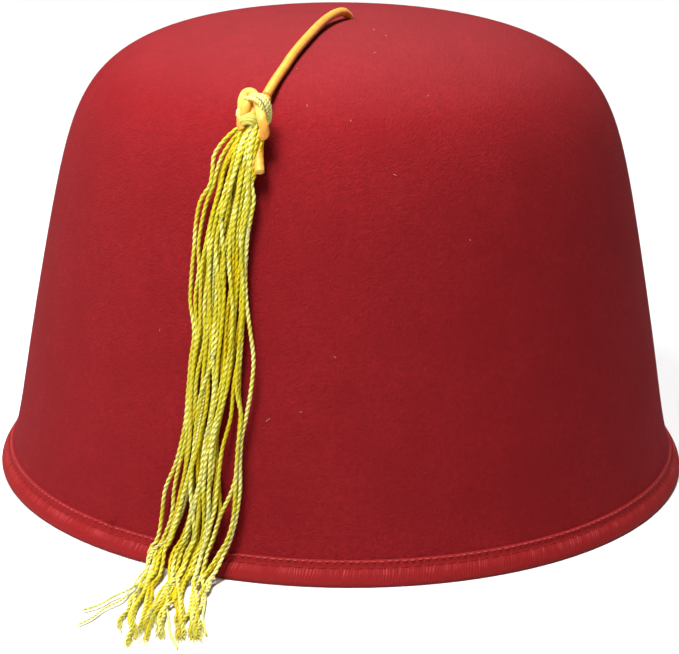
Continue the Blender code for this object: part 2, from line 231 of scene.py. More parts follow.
# how a strand's tone differs from its neighbours', and the waves in it along the strand
STRAND_TONES = (-0.35, 0.10)
TONE_WAVES = 2
TONE_WAVE_SIZE = 0.14
TONE_WAVE_LENGTHS = (0.006, 0.022)
# the twist opens out near the floor: from this height down, over this depth
SLACK_HEIGHT = 0.008
SLACK_DEPTH = 0.006
LOOSE_TWIST = 0.25
FRAY_STEP = 0.0004
FRAY_LENGTH = 0.011
FRAY_WIDTH = 0.0013
FRAY_HEIGHT = 0.00040
FRAY_FILAMENTS = 26
FRAY_POINTS = 10
FRAY_SIDES = 3
FRAY_RADII = (0.00008, 0.00005)
FRAY_FLOOR = 0.00012
FRAY_TONES = (0.4, 1.5)

# where the groups of strands cross rows of the photograph: the row, then each group's column, or 0 above the
# place where it parts from its neighbour
STRAND_GROUPS = (
    "outer", "second", "third", "main", "mid_left", "middle", "mid_right", "right", "edge", "inner", "loose",
    "hair", "curl", "stray_high", "stray_low")
STRAND_ROWS_PX = [
    (121, 254, 254, 255, 255, 256, 257, 258, 259, 259, 259, 258, 0, 257, 256, 256),
    (125, 248, 250, 251, 253, 254, 256, 258, 259, 260, 259, 258, 0, 256, 253, 254),
    (130, 237, 241, 243, 247, 250, 254, 257, 259, 260, 259, 258, 0, 254, 249, 250),
    (142, 224, 231, 235, 241, 245, 249, 253, 256, 257, 256, 256, 0, 249, 242, 244),
    (156, 215, 222, 227, 235, 241, 246, 250, 253, 254, 253, 253, 0, 246, 236, 238),
    (170, 213, 217, 221, 230, 237, 243, 248, 251, 252, 251, 252, 0, 243, 231, 234),
    (185, 210, 213, 218, 226, 233, 239, 245, 250, 252, 250, 251, 0, 239, 227, 230),
    (200, 201, 207, 215, 221, 229, 236, 243, 248, 254, 250, 250, 0, 236, 222, 226),
    (220, 197, 202, 211, 217, 225, 232, 239, 245, 251, 248, 249, 0, 232, 218, 222),
    (245, 195, 199, 207, 213, 220, 228, 235, 241, 247, 244, 247, 0, 228, 214, 217),
    (270, 192, 200, 203, 210, 217, 225, 232, 239, 246, 243, 246, 0, 225, 211, 214),
    (300, 191, 196, 202, 208, 215, 222, 230, 238, 243, 242, 247, 0, 222, 209, 212),
    (330, 195, 197, 202, 207, 213, 220, 227, 236, 242, 240, 250, 0, 220, 208, 211),
    (360, 191, 194, 198, 204, 211, 217, 224, 233, 240, 238, 253, 0, 217, 205, 208),
    (390, 189, 191, 195, 201, 208, 214, 221, 229, 238, 236, 251, 0, 214, 202, 205),
    (415, 187, 189, 192, 198, 205, 211, 217, 225, 242, 240, 247, 0, 211, 199, 201),
    (440, 182, 186, 189, 194, 201, 207, 213, 220, 240, 239, 242, 0, 207, 195, 197),
    (465, 176, 179, 184, 190, 198, 204, 210, 217, 238, 239, 240, 0, 204, 190, 193),
    (490, 166, 174, 179, 186, 195, 201, 208, 214, 232, 238, 240, 0, 201, 184, 188),
    (515, 162, 172, 174, 181, 192, 199, 206, 214, 221, 235, 237, 0, 199, 178, 181),
    (540, 158, 163, 167, 172, 187, 194, 201, 209, 213, 228, 231, 0, 194, 168, 169),
    (560, 151, 156, 160, 163, 180, 187, 194, 203, 207, 219, 223, 223, 186, 152, 154),
    (580, 143, 147, 150, 153, 172, 178, 182, 199, 201, 206, 212, 210, 176, 138, 141),
    (590, 138, 140, 146, 151, 166, 173, 179, 196, 195, 202, 207, 206, 171, 129, 131),
    (602, 131, 134, 139, 148, 159, 169, 178, 195, 190, 197, 202, 204, 168, 105, 118),
    (614, 124, 131, 135, 144, 153, 163, 179, 194, 187, 195, 199, 204, 167, 78, 97),
]
# each group: strands, half width in mm, where its middle ends (column, row)
STRAND_ENDS = {
    "outer": (1, 0.0, (118, 629)),
    "second": (1, 0.0, (129, 648)),
    "third": (2, 0.6, (136, 641)),
    "main": (3, 1.4, (139, 636)),
    "mid_left": (5, 1.9, (145, 643)),
    "middle": (4, 1.9, (160, 641)),
    "mid_right": (5, 1.9, (180, 640)),
    "right": (3, 1.3, (193, 640)),
    "edge": (1, 0.0, (178, 634)),
    "inner": (2, 0.5, (200, 639)),
    "loose": (1, 0.0, (199, 633)),
    "hair": (1, 0.0, (205, 637)),
    "curl": (1, 0.0, (178, 652)),
    "stray_high": (1, 0.0, (79, 612)),
    "stray_low": (1, 0.0, (76, 627)),
}
THIN_GROUPS = ("stray_high", "stray_low", "hair", "curl")
THREAD_PIECES = {
    "threads_left": ("outer", "second", "third", "main", "stray_high", "stray_low"),
    "threads_middle": ("mid_left", "middle", "curl"),
    "threads_right": ("mid_right", "right", "edge", "inner", "loose", "hair"),
}
# a group's last row lies at least so many rows above its end
ROWS_BEFORE_END = 6
# where a pixel's strand is looked for first, and the steps between two rows
USUAL_LIFT = 0.0018
STEPS_BETWEEN_ROWS = 12
# how a strand winds about its group: radians and length of the swing
SWING_ANGLES = (0.7, 1.5)
SWING_LENGTHS = (0.06, 0.12)
# its own sideways waves in mm, for one alone, one of many and on the floor, and their lengths
SIDE_WAVE_ALONE, SIDE_WAVE, SIDE_WAVE_ON_FLOOR = 0.12, 0.3, 0.35
SIDE_WAVE_LENGTHS = (0.018, 0.04)
FLOOR_WAVE_LENGTHS = (0.010, 0.022)
# how far out from the rim a group is fully laid on the floor, and how much narrower it is there
LAID_WITHIN = 0.015
LAID_NARROWER = 0.6
# how a strand's end differs from its group's: shorter if negative
STRAND_CUTS = (-0.009, 0.002)
# along every strand: run, lift of the bundle's middle and its half height, all in mm
BUNDLE_STATIONS = [
    (73.0, 3.8, 0.8),
    (75.5, 4.6, 1.3),
    (78.0, 4.6, 1.6),
    (82.0, 4.1, 1.7),
    (87.0, 3.3, 1.5),
    (94.0, 2.5, 1.3),
    (106.0, 2.1, 1.2),
    (182.0, 1.9, 1.15),
    (206.0, 1.3, 0.65),
    (219.0, 0.9, 0.4),
    (234.0, 0.6, 0.15),
]

# ---- the felt and its tape ----
FELT_COLUMNS = 288
FELT_RINGS_OUTSIDE = 110
FELT_RINGS_INSIDE = 40
FELT_HOLE_GAP = 0.00015
# how far from the hole the felt's rings lie off the middle, and how uneven the felt is
HOLE_REACH = 0.03
FELT_RIPPLE = 0.00012
# the pale painted sheen on top, standing in for the haze of light on the crown: the heights where it starts
# and is fullest, and its share there
FELT_PAINTED_SHEEN = (0.113, 0.129, 0.0, 0.10)
TAPE_RIBS = 870
TAPE_STITCHES = 202
# the tape's outside from its top edge: height, thickness over the felt and its gap and depth of its ribs, all
# in mm, its tone, with a painted highlight along the top edge and painted shade in the crease and at the
# foot, and how strong the painted glints on its ribs are
TAPE_OUTSIDE = [
    (6.10, -0.29, 0.00, 0.5, 0.0),
    (6.34, -0.27, 0.00, 0.5, 0.0),
    (6.28, -0.10, 0.00, 0.6, 0.0),
    (6.12, 0.06, 0.03, 0.7, 0.0),
    (5.90, 0.14, 0.03, 0.6, 0.0),
    (5.50, 0.17, 0.03, 0.55, 0.0),
    (5.10, 0.18, 0.03, 0.5, 0.0),
    (4.75, 0.20, 0.03, 0.5, 0.0),
    (4.50, 0.34, 0.04, 0.35, 0.1),
    (4.28, 0.62, 0.12, 0.5, 0.5),
    (3.90, 0.88, 0.18, 0.6, 0.7),
    (3.45, 1.09, 0.20, 0.62, 0.6),
    (3.00, 1.25, 0.20, 0.58, 0.3),
    (2.50, 1.38, 0.18, 0.57, 0.1),
    (2.00, 1.47, 0.16, 0.58, 0.0),
    (1.40, 1.52, 0.14, 0.60, 0.0),
    (0.80, 1.50, 0.12, 0.66, 0.0),
    (0.25, 1.15, 0.05, 0.4, 0.0),
    (0.00, 0.50, 0.00, 0.1, 0.0),
]
# the tape's inner leg: height, and distance outward from its face, in mm
TAPE_INSIDE = [(0.3, 0.0), (1.5, 0.0), (3.5, 0.0), (5.7, 0.0), (6.0, 0.2), (6.0, 0.5)]
TAPE_INSIDE_THICKNESS = 0.0005
TAPE_INSIDE_RIB = 0.00006
# how far the tape's ribs lean, in radians of their pitch for each mm of height
RIB_LEAN = 1.2
# how far a stitch draws the tape in, in mm, and the height and half height of that pull
STITCH_PULL, STITCH_PULL_HEIGHT, STITCH_PULL_REACH = 0.12, 4.5, 0.9
# the row of stitches along the tape's top edge: how many, height and thickness over the felt in mm
EDGE_STITCHES = (306, 6.00, 0.22)
EDGE_STITCH_RADII = (0.00015, 0.00020)
# the stitches in the crease above the tape's bulge
CREASE_STITCH_HEIGHT = 0.0045
CREASE_STITCH_LIFT = 0.00045
CREASE_STITCH_RADIUS = 0.00013
STITCH_SIDES = 6
# bits of lint on the felt: the column and row that show them, their length in mm
LINT_PX = [
    (297, 69, 0.7),
    (307, 106, 0.9),
    (351, 121, 0.8),
    (395, 175, 1.1),
    (375, 53, 2.2),
    (374, 30, 1.6),
    (386, 36, 1.3),
    (335, 357, 0.7),
    (301, 412, 0.7),
    (268, 420, 1.5),
    (428, 96, 0.8),
    (160, 330, 0.8),
    (470, 240, 0.6),
]
LOOSE_FIBRES_PX = (112, 523)
LOOSE_FIBRES = 9
LINT_RADIUS = 0.00004
LINT_SIDES = 4
# the hat's radius about halfway up
USUAL_RADIUS = 0.08

random = np.random.default_rng(SEED)


# ---- the hat's outline ----
def around_axis(radius, angle, height):
    """Points at a distance from the hat's axis, turned by an angle from the front."""
    return np.stack([radius * np.sin(angle), -radius * np.cos(angle), height], -1)


def wall_radius(height):
    """The wall and dome without any spread at the foot."""
    straight = RIM_DIAMETER / 2 - RIM_FLARE[0] - WALL_TAPER * height - WALL_BARREL * height**2
    dome = 1 - np.minimum(height / CROWN_HEIGHT, 1) ** SHOULDER_EXPONENT
    return straight * dome ** (1 / SHOULDER_ROUNDNESS)


def outline_through(spread):
    """Radii, heights and outward normals from the foot to the middle of the top."""
    size, reach, sharpness = spread
    quarter = np.linspace(0, math.pi / 2, 4001)
    heights = CROWN_HEIGHT * np.sin(quarter)
    flare = size * np.exp(-((heights / reach) ** sharpness))
    radii = wall_radius(heights) + flare * (heights < CROWN_HEIGHT / 2)
    step_out = np.gradient(radii)
    step_up = np.gradient(heights)
    length = np.hypot(step_out, step_up)
    return radii, heights, step_up / length, -step_out / length


OUTER_RADII, OUTER_HEIGHTS, OUTER_NORMAL_OUT, OUTER_NORMAL_UP = outline_through(RIM_FLARE)
FELT_RADII, FELT_HEIGHTS, FELT_NORMAL_OUT, FELT_NORMAL_UP = outline_through(FELT_FLARE)
INNER_RADII = FELT_RADII - FELT_THICKNESS * FELT_NORMAL_OUT
INNER_HEIGHTS = FELT_HEIGHTS - FELT_THICKNESS * FELT_NORMAL_UP
OUTER_STEPS = np.hypot(np.diff(OUTER_RADII), np.diff(OUTER_HEIGHTS))
OUTER_RUNS = np.sum(OUTER_STEPS) - np.concatenate([[0], np.cumsum(OUTER_STEPS)])
RIM_RUN = float(OUTER_RUNS[0])


def felt_outside(height):
    return np.interp(height, FELT_HEIGHTS, FELT_RADII)


def felt_inside(height):
    return np.interp(height, INNER_HEIGHTS, INNER_RADII)


def on_hat(run, turn, lift):
    """Points by run and lift in metres and turn in degrees, rounding the foot onto the floor."""
    run, turn, lift = np.broadcast_arrays(
        np.asarray(run, float), np.asarray(turn, float), np.asarray(lift, float))
    foot = RIM_DIAMETER / 2
    back = -np.minimum(run, RIM_RUN - FLOOR_BEND)
    radius, height = (
        np.interp(back, -OUTER_RUNS, base) + lift * np.interp(back, -OUTER_RUNS, normal)
        for base, normal in ((OUTER_RADII, OUTER_NORMAL_OUT), (OUTER_HEIGHTS, OUTER_NORMAL_UP)))
    share = np.clip((run - RIM_RUN + FLOOR_BEND) / (2 * FLOOR_BEND), 0, 1)
    beyond = foot + np.maximum(run - RIM_RUN, FLOOR_BEND)
    radius = (1 - share) ** 2 * radius + 2 * share * (1 - share) * (foot + lift) + share**2 * beyond
    height = (1 - share) ** 2 * height + 2 * share * (1 - share) * lift + share**2 * lift
    return around_axis(radius, np.radians(turn), height)


# ---- camera ----
def make_camera():
    """The photograph's camera, and its place and directions for placing things by pixels."""
    level = Vector((0, math.cos(CAMERA_ELEVATION), -math.sin(CAMERA_ELEVATION)))
    upward = Vector((0, math.sin(CAMERA_ELEVATION), math.cos(CAMERA_ELEVATION)))
    across = Vector((1, 0, 0))
    right = across * math.cos(CAMERA_ROLL) + upward * math.sin(CAMERA_ROLL)
    up = -across * math.sin(CAMERA_ROLL) + upward * math.cos(CAMERA_ROLL)
    eye = CAMERA_AIM - level * CAMERA_DISTANCE
    camera = bpy.data.objects.new("camera", bpy.data.cameras.new("camera"))
    bpy.context.scene.collection.objects.link(camera)
    turned = Matrix((right, up, -level)).transposed().to_4x4()
    turned.translation = eye
    camera.matrix_world = turned
    camera.data.sensor_fit = "HORIZONTAL"
    camera.data.sensor_width = SENSOR_WIDTH_MM
    camera.data.lens = SENSOR_WIDTH_MM * FOCAL_PIXELS / IMAGE_WIDTH
    camera.data.clip_start, camera.data.clip_end = CAMERA_CLIP
    bpy.context.scene.camera = camera
    return tuple(np.array(v) for v in (eye, level, right, up))


EYE, LOOKING, RIGHTWARD, UPWARD = make_camera()


def under_pixel(column, row, lift):
    """Run and turn of the place that a pixel shows, at a lift above the hat or the floor."""
    ray = (
        LOOKING + RIGHTWARD * (column - IMAGE_WIDTH / 2) / FOCAL_PIXELS
        - UPWARD * (row - IMAGE_HEIGHT / 2) / FOCAL_PIXELS)
    places = EYE + RAY_REACH[:, None] * ray
    reach = np.hypot(places[:, 0], places[:, 1])
    outline_radii = OUTER_RADII + lift * OUTER_NORMAL_OUT
    outline_heights = OUTER_HEIGHTS + lift * OUTER_NORMAL_UP
    ceiling = np.interp(reach, outline_radii[::-1], outline_heights[::-1], right=-1)
    inside = (places[:, 2] < ceiling) & (places[:, 2] > lift)
    if inside.any():
        place = places[np.argmax(inside)]
        nearest = np.argmin(np.hypot(
            outline_radii - np.hypot(place[0], place[1]), outline_heights - place[2]))
        run = OUTER_RUNS[nearest]
    else:
        place = EYE + ray * (lift - EYE[2]) / ray[2]
        run = RIM_RUN + math.hypot(place[0], place[1]) - RIM_DIAMETER / 2
    return float(run), math.degrees(math.atan2(place[0], -place[1]))


# ---- lines ----
def smooth_through(points, steps=16):
    """Many points on a smooth curve through the given rows."""
    points = np.asarray(points, float)
    padded = np.vstack([2 * points[0] - points[1], points, 2 * points[-1] - points[-2]])
    before, start, end, after = (padded[i:len(padded) - 3 + i, None, :] for i in range(4))
    share = np.linspace(0, 1, steps, endpoint=False)[None, :, None]
    fine = 0.5 * (
        2 * start + (end - before) * share
        + (2 * before - 5 * start + 4 * end - after) * share**2
        + (3 * start - before - 3 * end + after) * share**3)
    return np.vstack([fine.reshape(-1, points.shape[1]), points[-1:]])


def distances_along(line):
    return np.concatenate([[0], np.cumsum(np.linalg.norm(np.diff(line, axis=0), axis=1))])


def evenly(line, step):
    """The same line with points about a step apart."""
    length = distances_along(line)
    wanted = np.linspace(0, length[-1], max(3, round(length[-1] / step) + 1))
    return np.stack([np.interp(wanted, length, column) for column in line.T], -1)


def wave_along(runs, lengths):
    """A wave along the runs, with a random length and start."""
    return np.sin(math.tau * runs / random.uniform(*lengths) + random.uniform(0, math.tau))


def unit(vectors):
    return vectors / np.maximum(np.linalg.norm(vectors, axis=-1, keepdims=True), 1e-12)


def carried_frames(line):
    """Two directions square to the line at each point, turning no more than the line does."""
    ahead = unit(np.gradient(line, axis=0))
    across = np.zeros_like(line)
    helper = np.eye(3)[np.argmin(np.abs(ahead[0]))]
    current = np.cross(ahead[0], helper)
    for index, direction in enumerate(ahead):
        current = current - direction * (current @ direction)
        current = current / np.sqrt(current @ current)
        across[index] = current
    return across, np.cross(ahead, across)


# ---- meshes from arrays ----
class Shape:
    """Points and faces of one piece, gathered from many parts."""

    def __init__(self):
        self.points = []
        self.quads = []
        self.triangles = []
        self.tones = []
        self.count = 0

    def add(self, points, quads, triangles=(), tone=0.5):
        self.points.append(points.reshape(-1, 3))
        self.quads.append(np.asarray(quads, int).reshape(-1, 4) + self.count)
        self.triangles.append(np.asarray(triangles, int).reshape(-1, 3) + self.count)
        self.tones.append(np.broadcast_to(tone, points.shape[:-1]).reshape(-1))
        self.count += points.reshape(-1, 3).shape[0]

    def add_rings(self, points, closed=False, tone=0.5):
        """Rings of points joined to the next; closed joins the last to the first."""
        rows, columns = points.shape[:2]
        index = np.arange(rows * columns).reshape(rows, columns)
        above, below = (index, np.roll(index, -1, 0)) if closed else (index[:-1], index[1:])
        corners = [above, np.roll(above, -1, 1), np.roll(below, -1, 1), below]
        self.add(points, np.stack(corners, -1), tone=tone)

    def add_tube(self, line, radius, sides, frames=None, tone=0.5):
        """A round tube with closed ends; the radius may differ at each point, or at each point and side."""
        across, upward = carried_frames(line) if frames is None else frames
        angles = np.arange(sides) * math.tau / sides
        if np.ndim(radius) < 2:
            radius = np.broadcast_to(radius, len(line))[:, None]
        rings = line[:, None, :] + radius[:, :, None] * (
            np.cos(angles)[None, :, None] * across[:, None, :]
            + np.sin(angles)[None, :, None] * upward[:, None, :])
        rows = len(line)
        index = np.arange(rows * sides).reshape(rows, sides)
        following = np.roll(index, -1, 1)
        quads = np.stack([index[:-1], following[:-1], following[1:], index[1:]], -1)
        start, end = rows * sides, rows * sides + 1
        caps = [(start, following[0, i], index[0, i]) for i in range(sides)]
        caps += [(end, index[-1, i], following[-1, i]) for i in range(sides)]
        points = np.vstack([rings.reshape(-1, 3), line[:1], line[-1:]])
        self.add(points, quads, caps, tone)

    def piece(self, name, material, slot, *nodes):
        """The finished object, riding on the hat and standing for the named nodes."""
        points = np.vstack(self.points)
        quads = np.vstack(self.quads)
        triangles = np.vstack(self.triangles)
        mesh = bpy.data.meshes.new(name)
        mesh.vertices.add(len(points))
        mesh.vertices.foreach_set("co", points.astype(np.float32).ravel())
        corners = np.concatenate([quads.ravel(), triangles.ravel()]).astype(np.int32)
        mesh.loops.add(len(corners))
        mesh.loops.foreach_set("vertex_index", corners)
        starts = np.concatenate([
            np.arange(len(quads)) * 4, quads.size + np.arange(len(triangles)) * 3]).astype(np.int32)
        mesh.polygons.add(len(starts))
        mesh.polygons.foreach_set("loop_start", starts)
        mesh.update(calc_edges=True)
        mesh.validate()
        mesh.attributes.new("tone", "FLOAT", "POINT").data.foreach_set(
            "value", np.concatenate(self.tones).astype(np.float32))
        mesh.shade_smooth()
        mesh.materials.append(material)
        thing = bpy.data.objects.new(name, mesh)
        bpy.context.scene.collection.objects.link(thing)
        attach(thing, "root")
        if nodes:
            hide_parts(*nodes)
        print("made", name, 2 * len(quads) + len(triangles), "triangles")
        return thing


# ---- materials ----
class Paint:
    """A material whose principled shader is fed by procedural textures."""

    def __init__(self, name, roughness, **plain):
        self.material = bpy.data.materials.new(name)
        self.material.use_nodes = True
        self.tree = self.material.node_tree
        self.shader = self.tree.nodes["Principled BSDF"]
        self.shader.inputs["Roughness"].default_value = roughness
        for socket, value in plain.items():
            self.shader.inputs[socket.replace("_", " ")].default_value = value
        self.place = self.tree.nodes.new("ShaderNodeTexCoord").outputs["Object"]

    def link(self, source, target):
        self.tree.links.new(source, target)

    def stretched(self, scale):
        """Object coordinates with each axis multiplied."""
        mapping = self.tree.nodes.new("ShaderNodeMapping")
        mapping.inputs["Scale"].default_value = scale
        self.link(self.place, mapping.inputs["Vector"])
        return mapping.outputs["Vector"]

    def noise(self, scale, detail=2.0, roughness=0.5, distortion=0.0, stretch=None, kind="FBM"):
        texture = self.tree.nodes.new("ShaderNodeTexNoise")
        texture.noise_type = kind
        texture.inputs["Scale"].default_value = scale
        texture.inputs["Detail"].default_value = detail
        texture.inputs["Roughness"].default_value = roughness
        texture.inputs["Distortion"].default_value = distortion
        self.link(self.stretched(stretch) if stretch else self.place, texture.inputs["Vector"])
        return texture.outputs["Fac"]

    def tone(self):
        """How light the piece's own points say that it is there."""
        node = self.tree.nodes.new("ShaderNodeAttribute")
        node.attribute_name = "tone"
        return node.outputs["Fac"]

    def height(self):
        """How high above the floor a point lies, in metres."""
        node = self.tree.nodes.new("ShaderNodeSeparateXYZ")
        self.link(self.place, node.inputs[0])
        return node.outputs["Z"]

    def ramp(self, source, low, high, bottom=0.0, top=1.0):
        """The source's values from low to high spread from bottom to top."""
        spread = self.tree.nodes.new("ShaderNodeMapRange")
        self.link(source, spread.inputs["Value"])
        limits = {"From Min": low, "From Max": high, "To Min": bottom, "To Max": top}
        for socket, value in limits.items():
            spread.inputs[socket].default_value = value
        return spread.outputs["Result"]

    def mix(self, share, first, second):
        """Two colours or colour outputs mixed by an output."""
        node = self.tree.nodes.new("ShaderNodeMix")
        node.data_type = "RGBA"
        for socket, value in zip((node.inputs[0], node.inputs[6], node.inputs[7]), (share, first, second)):
            if isinstance(value, bpy.types.NodeSocket):
                self.link(value, socket)
            else:
                socket.default_value = (*value, 1)
        return node.outputs[2]

    def sum(self, first, second, weight=1.0):
        node = self.tree.nodes.new("ShaderNodeMath")
        node.operation = "MULTIPLY_ADD"
        self.link(second, node.inputs[0])
        node.inputs[1].default_value = weight
        self.link(first, node.inputs[2])
        return node.outputs[0]

    def colour(self, source):
        self.link(source, self.shader.inputs["Base Color"])

    def bump(self, height, distance, strength=1.0):
        node = self.tree.nodes.new("ShaderNodeBump")
        node.inputs["Strength"].default_value = strength
        node.inputs["Distance"].default_value = distance
        self.link(height, node.inputs["Height"])
        self.link(node.outputs["Normal"], self.shader.inputs["Normal"])


def felt_paint():
    """Matted red wool: soft blotches, fine mottling, lighter hairs and a pale painted sheen towards the top.
    """
    paint = Paint(
        "red_wool_felt", 0.9, Specular_IOR_Level=0.03, Sheen_Weight=0.020, Sheen_Roughness=0.35,
        Sheen_Tint=(1.0, 0.58, 0.60, 1))
    blotches = paint.ramp(paint.noise(70, 3, 0.6), 0.35, 0.65)
    mottling = paint.ramp(paint.noise(640, 3, 0.65, 0.6), 0.3, 0.7)
    hairs = paint.noise(900, 2, 0.5, 2.2, kind="RIDGED_MULTIFRACTAL")
    base = paint.mix(blotches, (0.208, 0.0094, 0.0120), (0.242, 0.0118, 0.0148))
    spotted = paint.mix(mottling, (0.187, 0.0086, 0.0110), base)
    haired = paint.mix(paint.ramp(hairs, 0.5, 1.3, 0.0, 0.5), spotted, (0.34, 0.042, 0.049))
    # painted sheen: the felt turns paler with height towards the top of the crown
    painted_sheen = paint.ramp(paint.height(), *FELT_PAINTED_SHEEN)
    paint.colour(paint.mix(painted_sheen, haired, (0.26, 0.12, 0.13)))
    relief = paint.sum(paint.noise(1500, 3, 0.6, 0.8), hairs, 0.35)
    paint.bump(relief, 0.00060, 0.9)
    return paint.material


def tape_paint():
    """Ribbed red tape: painted highlights on its ribs and top edge, painted shade in its crease and at its
    foot.
    """
    paint = Paint(
        "red_grosgrain", 0.8, Specular_IOR_Level=0.12, Sheen_Weight=0.03, Sheen_Roughness=0.4,
        Sheen_Tint=(1.0, 0.5, 0.5, 1))
    fine = paint.ramp(paint.noise(900, 3, 0.6), 0.35, 0.65)
    tone = paint.tone()
    # low tones give painted shade, high tones painted highlights
    base = paint.mix(paint.ramp(tone, 0, 0.5), (0.137, 0.0038, 0.0050), (0.240, 0.0078, 0.0089))
    base = paint.mix(paint.ramp(tone, 0.5, 1), base, (0.42, 0.056, 0.054))
    paint.colour(paint.mix(paint.ramp(fine, 0.0, 1.0, 0.35, 0.0), base, (0.190, 0.0085, 0.0095)))
    paint.bump(fine, 0.00008, 0.7)
    return paint.material


def cord_paint():
    """Golden satin cord, paler and yellower by its tone as a painted highlight on the knot."""
    paint = Paint("golden_satin", 0.5, Specular_IOR_Level=0.35, Sheen_Weight=0.12, Sheen_Roughness=0.4)
    wear_and_glint = paint.ramp(paint.noise(260, 3, 0.6), 0.35, 0.7)
    plain = paint.mix(wear_and_glint, (0.66, 0.25, 0.022), (0.76, 0.34, 0.040))
    # the tone turns the cord pale yellow as a painted highlight
    paint.colour(paint.mix(paint.tone(), plain, (0.80, 0.58, 0.090)))
    paint.bump(paint.noise(2600, 2, 0.5, stretch=(1, 1, 0.4)), 0.00006, 0.6)
    return paint.material


def thread_paint():
    """Shiny yellow rayon; its tone changes from strand to strand and carries painted shade and highlights."""
    paint = Paint(
        "yellow_rayon", 0.30, Specular_IOR_Level=0.5, Specular_Tint=(1, 0.88, 0.2, 1),
        Subsurface_Weight=0.7, Subsurface_Scale=0.0006, Subsurface_Radius=(1, 0.8, 0.1))
    silk = paint.ramp(paint.noise(4200, 2, 0.5, stretch=(1, 1, 0.3)), 0.3, 0.7, 0.0, 0.25)
    tone = paint.tone()
    base = paint.mix(paint.ramp(tone, 0, 0.5), (0.55, 0.385, 0.0003), (0.475, 0.385, 0.001))
    base = paint.mix(paint.ramp(tone, 0.5, 1), base, (0.50, 0.448, 0.050))
    base = paint.mix(paint.ramp(tone, 1, 1.5), base, (0.77, 0.735, 0.34))
    paint.colour(paint.mix(silk, base, (0.64, 0.59, 0.08)))
    paint.bump(silk, 0.00006, 0.6)
    return paint.material


def lint_paint():
    """Pale pinkish fibres."""
    paint = Paint("pale_lint", 0.9, Sheen_Weight=0.2)
    paint.colour(paint.mix(paint.noise(3000), (0.40, 0.16, 0.15), (0.75, 0.50, 0.48)))
    return paint.material


# ---- the cord and its knots ----
def add_cord(shape, line, radius=CORD_DIAMETER / 2, sides=CORD_SIDES, tone=0.0):
    """A cord whose surface carries a faint two-start spiral."""
    angles = np.arange(sides) * math.tau / sides
    wave = np.cos(2 * angles[None, :] - math.tau * distances_along(line)[:, None] / CORD_SPIRAL_PITCH)
    tone = np.broadcast_to(tone, len(line))
    tones = np.concatenate([np.repeat(tone, sides), tone[:1], tone[-1:]])
    shape.add_tube(line, radius + CORD_SPIRAL_DEPTH * wave, sides, tone=tones)


def make_cord(material):
    """The cord from inside the crown to the tassel's knot."""
    line = evenly(smooth_through(CORD_ROUTE), CORD_STEP)
    shape = Shape()
    add_cord(shape, line)
    return shape.piece("satin_cord", material, "golden_cord", "tassel_cord"), line


def knot_frame():
    """The knot's middle and its directions to the side, down the hat and outward."""
    run, turn, lift = KNOT_PLACE[0] * MM, KNOT_PLACE[1], KNOT_PLACE[2] * MM
    middle = on_hat(run, turn, lift)
    out = unit(on_hat(run, turn, lift + MM) - middle)
    angle = math.radians(turn)
    side = np.array([math.cos(angle), math.sin(angle), 0])
    return middle, side, np.cross(side, out), out


def at_knot(rows):
    """Points from rows of side, down and out in mm from the knot's middle."""
    middle, side, down, out = knot_frame()
    rows = np.asarray(rows, float) * MM
    return middle + rows[:, :1] * side + rows[:, 1:2] * down + rows[:, 2:] * out


def make_knot(material):
    """The cord's loop round the threads, its way in and its cut tail."""
    shape = Shape()
    for rows in KNOT_CORDS.values():
        rows = smooth_through(rows)
        line = at_knot(rows[:, :3])
        along = distances_along(line)
        fine = evenly(line, KNOT_STEP)
        add_cord(shape, fine, tone=np.interp(distances_along(fine), along, rows[:, 3]))
    return shape.piece("cord_knot", material, "golden_cord", "tassel_knot")


def knot_winding():
    """The line of the threads wound round under the cord."""
    turns, middle, (side, down, out) = KNOT_WINDING[:3]
    share = np.linspace(0, 1, WINDING_STEPS * turns)
    level = 2 * share - 1
    bulge = np.sqrt(1.1 - level**2)
    angle = math.tau * turns * share
    return at_knot(middle + np.stack([
        side * bulge * np.cos(angle), down * level, out * bulge * np.sin(angle)], -1))


def make_inner_knot(material):
    """The cord's end tied in coils under the hole, inside the crown."""
    top = np.array(CORD_ROUTE[0]) - (0, 0, PIECE_GAP)
    coil_radius, tucked_reach, farther, room = INNER_KNOT_COIL
    shape = Shape()
    core = np.linspace(top, top - (0, 0, INNER_KNOT_HEIGHT), 30)
    add_cord(shape, core, INNER_KNOT_CORE_RADIUS, INNER_KNOT_SIDES)
    turns = np.linspace(0, INNER_KNOT_TURNS, 200)
    down = room + (INNER_KNOT_HEIGHT - 2 * room) * turns / INNER_KNOT_TURNS
    out = np.minimum(1, np.minimum(turns, INNER_KNOT_TURNS - turns) * 6)
    reach = tucked_reach + farther * out
    coil = top + np.stack(
        [reach * np.cos(math.tau * turns), reach * np.sin(math.tau * turns), -down], -1)
    add_cord(shape, evenly(coil, KNOT_STEP), coil_radius, INNER_KNOT_SIDES)
    return shape.piece("coiled_inner_knot", material, "golden_cord", "inner_knot")


